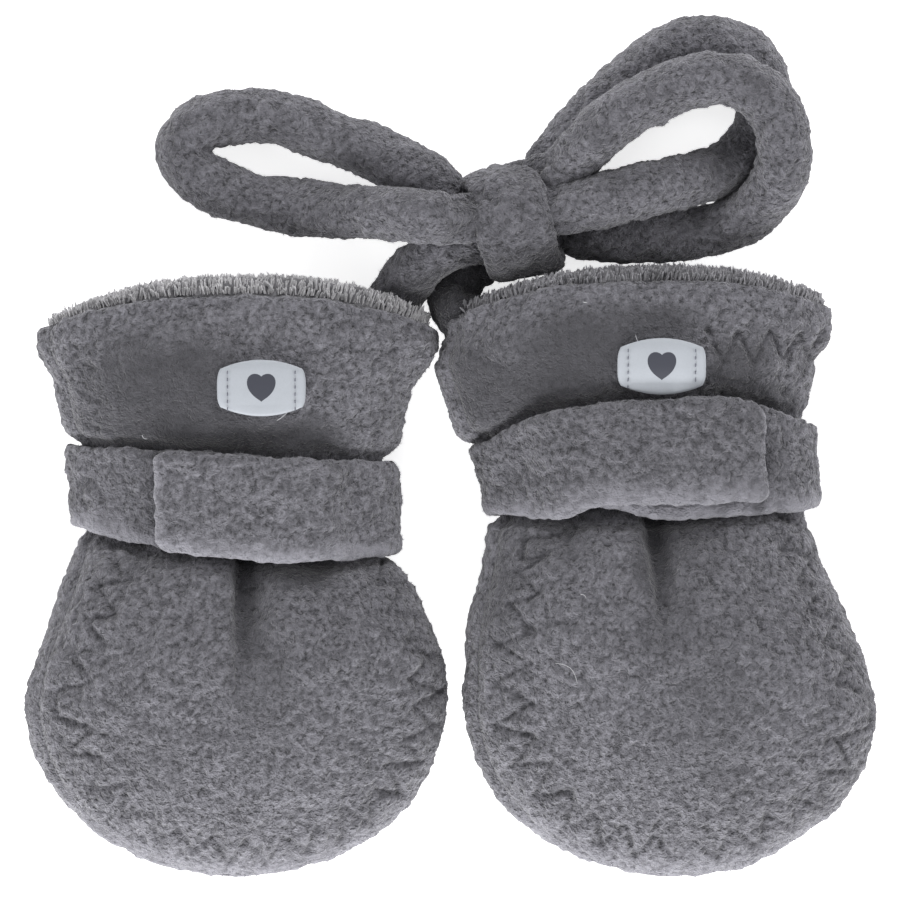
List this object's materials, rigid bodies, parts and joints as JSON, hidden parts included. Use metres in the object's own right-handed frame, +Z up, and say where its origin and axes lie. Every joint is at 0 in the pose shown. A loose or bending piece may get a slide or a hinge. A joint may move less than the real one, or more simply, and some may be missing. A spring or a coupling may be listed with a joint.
{
  "type": "pair of baby mittens",
  "caption": "Hollow thumbless fleece baby mittens with open lined cuffs and wrap-over wrist straps, lying flat side by side, joined by a soft cord tied in a bow.",
  "frame": {"origin": "centre of the two mittens' outline, on the surface they lie on", "axes": "+X across the pair towards the right-hand mitten, +Y from the fingertips to the cuffs, +Z up out of the fronts"},
  "size_m": [0.17, 0.1722, 0.0251],
  "materials": {
    "fleece": "bobbly matt fleece",
    "strap_fleece": "bobbly matt fleece",
    "cord_fleece": "bobbly matt fleece",
    "lining_pile": "light cut pile",
    "label": "smooth woven label"
  },
  "bodies": {
    "root": {"left_front_panel": "fleece", "left_back_panel": "fleece", "left_cuff_lining": "lining_pile", "left_wrist_strap": "strap_fleece", "left_strap_tab": "strap_fleece", "left_label": "label", "right_front_panel": "fleece", "right_back_panel": "fleece", "right_cuff_lining": "lining_pile", "right_wrist_strap": "strap_fleece", "right_strap_tab": "strap_fleece", "right_label": "label", "cord_knot": "cord_fleece", "cord_left_loop": "cord_fleece", "cord_front_loop": "cord_fleece", "cord_rear_loop": "cord_fleece", "cord_left_tail": "cord_fleece", "cord_right_tail": "cord_fleece"}
  },
  "joints": []
}
